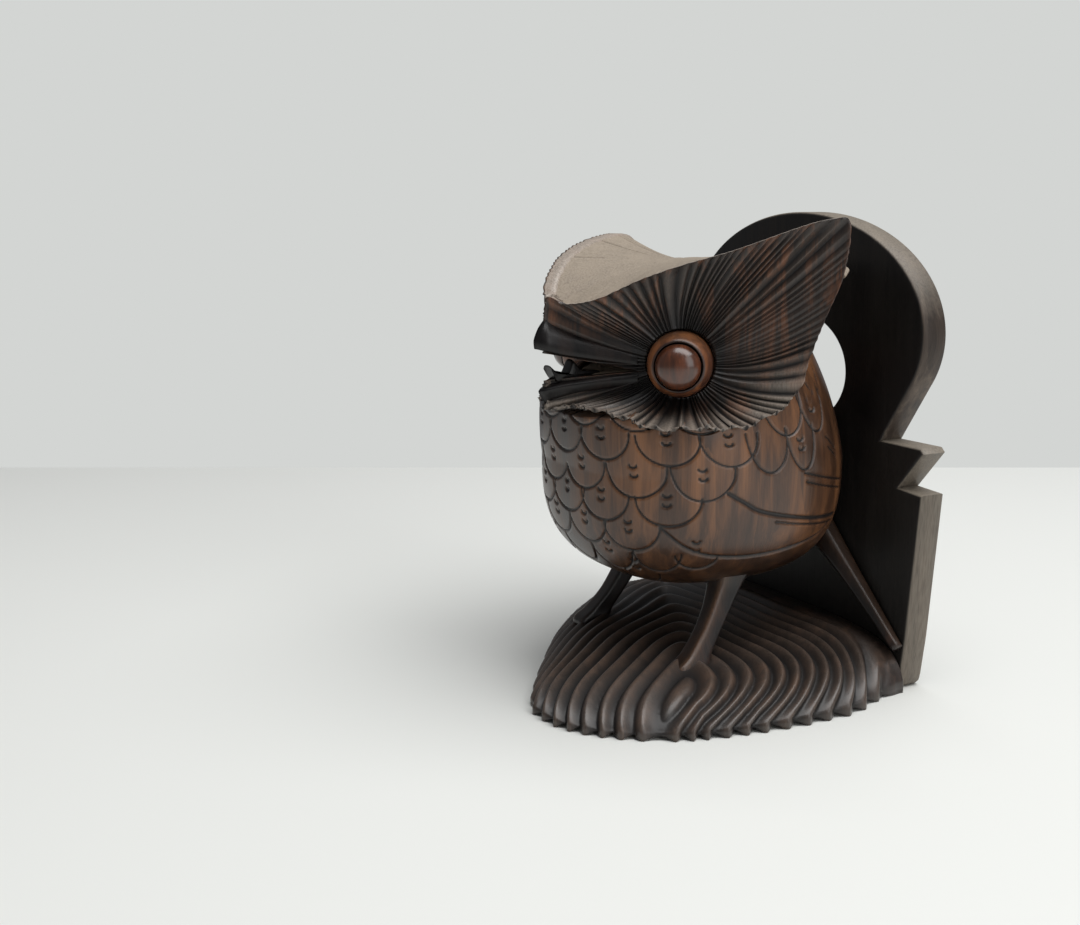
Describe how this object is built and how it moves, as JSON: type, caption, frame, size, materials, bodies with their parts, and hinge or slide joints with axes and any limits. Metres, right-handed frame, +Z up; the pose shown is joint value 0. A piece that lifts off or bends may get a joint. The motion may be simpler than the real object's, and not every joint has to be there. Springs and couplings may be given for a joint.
{
  "type": "owl bookend",
  "caption": "Carved wooden owl standing on a wave-carved mound in front of an arched, windowed upright panel that books lean against.",
  "frame": {"origin": "centre of the bounding box's footprint, on the surface that the object stands on", "axes": "+Z up; the owl faces -Y; +X is the owl's left; +Y is the flat back that books lean against"},
  "size_m": [0.1399, 0.127, 0.1545],
  "materials": {
    "panel_wood": "satin wax, dark rosewood with vertical streaks",
    "mound_wood": "satin wax, carved waves",
    "body_wood": "satin wax, warm brown with black streaks",
    "crown_wood": "dull wax, pale where it faces up",
    "disc_wood": "satin wax, fluted",
    "beak_wood": "polished, near black",
    "eye_ring_wood": "polished",
    "eye_wood": "high gloss, red brown",
    "leg_wood": "satin wax"
  },
  "bodies": {
    "root": {"back_panel": "panel_wood", "base_mound": "mound_wood", "body": "body_wood", "crown": "crown_wood", "upper_beak": "beak_wood", "lower_beak": "beak_wood", "tongue": "beak_wood", "face_disc_left": "disc_wood", "face_disc_right": "disc_wood", "eye_collar_left": "eye_ring_wood", "eye_collar_right": "eye_ring_wood", "eye_dome_left": "eye_wood", "eye_dome_right": "eye_wood", "leg_left": "leg_wood", "leg_right": "leg_wood", "tail_strut_left": "leg_wood", "tail_strut_right": "leg_wood"}
  },
  "joints": []
}
